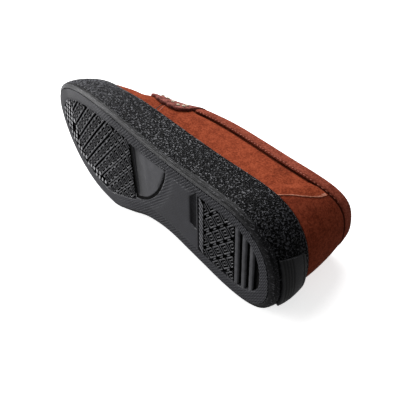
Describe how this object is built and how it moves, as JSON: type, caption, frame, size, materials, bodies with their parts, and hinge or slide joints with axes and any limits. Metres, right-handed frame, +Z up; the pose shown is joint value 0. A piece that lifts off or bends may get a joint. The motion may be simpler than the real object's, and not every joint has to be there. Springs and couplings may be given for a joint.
{
  "type": "loafer",
  "caption": "Left suede loafer with a saddle strap on a black rubber sole with a grained side band and blocked tread, lying on its inner side.",
  "frame": {"origin": "centre of the shoe's box at floor level, the shoe lying on its inner side", "axes": "+X from the toe to the heel, +Y from the sole to the collar, +Z up, towards the outer side"},
  "size_m": [0.305, 0.098, 0.1071],
  "materials": {
    "outsole_rubber": "satin moulded rubber",
    "foxing_rubber": "crepe grain",
    "label_rubber": "fine ribs",
    "insole_fabric": "matt cloth over foam",
    "suede": "napped suede",
    "binding_suede": "napped suede",
    "counter_suede": "napped suede",
    "strap_suede": "napped suede",
    "thread": "waxed thread",
    "lining": "smooth lining"
  },
  "bodies": {
    "root": {"outsole": "outsole_rubber", "foxing": "foxing_rubber", "heel_label": "label_rubber", "insole": "insole_fabric", "upper": "suede", "collar_binding": "binding_suede", "heel_counter": "counter_suede", "saddle_strap": "strap_suede"}
  },
  "joints": []
}
